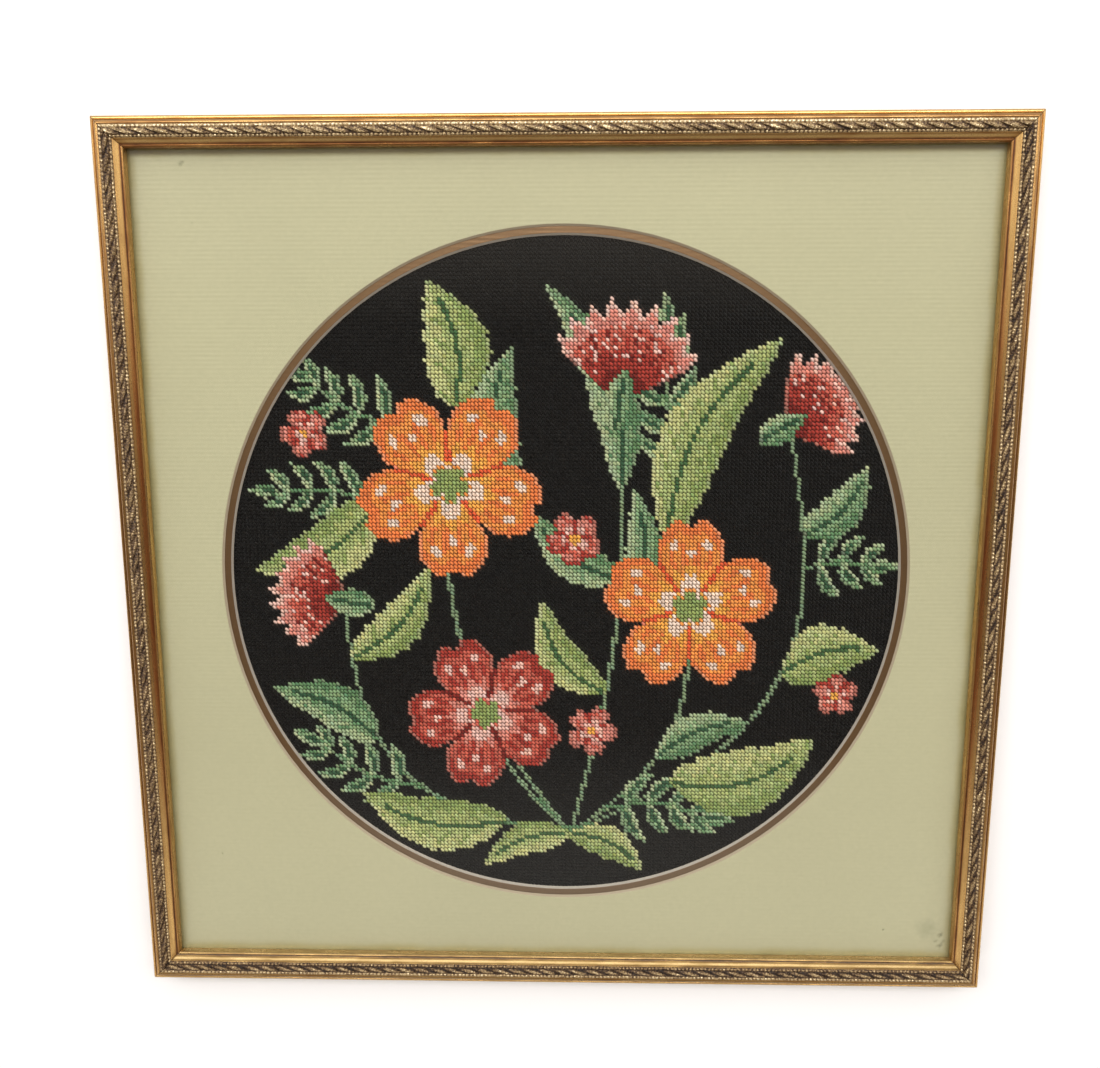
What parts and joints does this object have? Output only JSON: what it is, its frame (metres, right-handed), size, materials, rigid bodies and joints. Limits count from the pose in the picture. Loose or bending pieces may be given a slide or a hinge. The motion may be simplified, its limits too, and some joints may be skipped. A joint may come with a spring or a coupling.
{
  "type": "framed needlepoint in a gilt picture frame",
  "caption": "Square gilt rope-and-bead picture frame with glass, sage and brown mats and a round window of wool needlepoint flowers on black.",
  "frame": {"origin": "middle of the frame's square back, on the surface that it lies on", "axes": "+Z out of the picture face, +Y towards the top of the picture, +X towards its right side"},
  "size_m": [0.476, 0.476, 0.021],
  "materials": {
    "gilt_wood": "gold leaf over red-brown clay, rubbed and toned dark in the hollows",
    "picture_glass": "clear, polished",
    "sage_mat_board": "matte laid paper with a fine horizontal line and a few age spots",
    "brown_mat_board": "smooth paper with a slight bronze sheen",
    "wool_tent_stitch": "wool yarn in slanting tent stitches, black ground with green, orange and rose motifs",
    "brown_hardboard": "plain pressed board"
  },
  "bodies": {
    "root": {"rail_top": "gilt_wood", "rail_bottom": "gilt_wood", "rail_left": "gilt_wood", "rail_right": "gilt_wood", "glass_pane": "picture_glass", "outer_mat": "sage_mat_board", "inner_mat": "brown_mat_board", "needlepoint_canvas": "wool_tent_stitch", "backing_board": "brown_hardboard"}
  },
  "joints": []
}
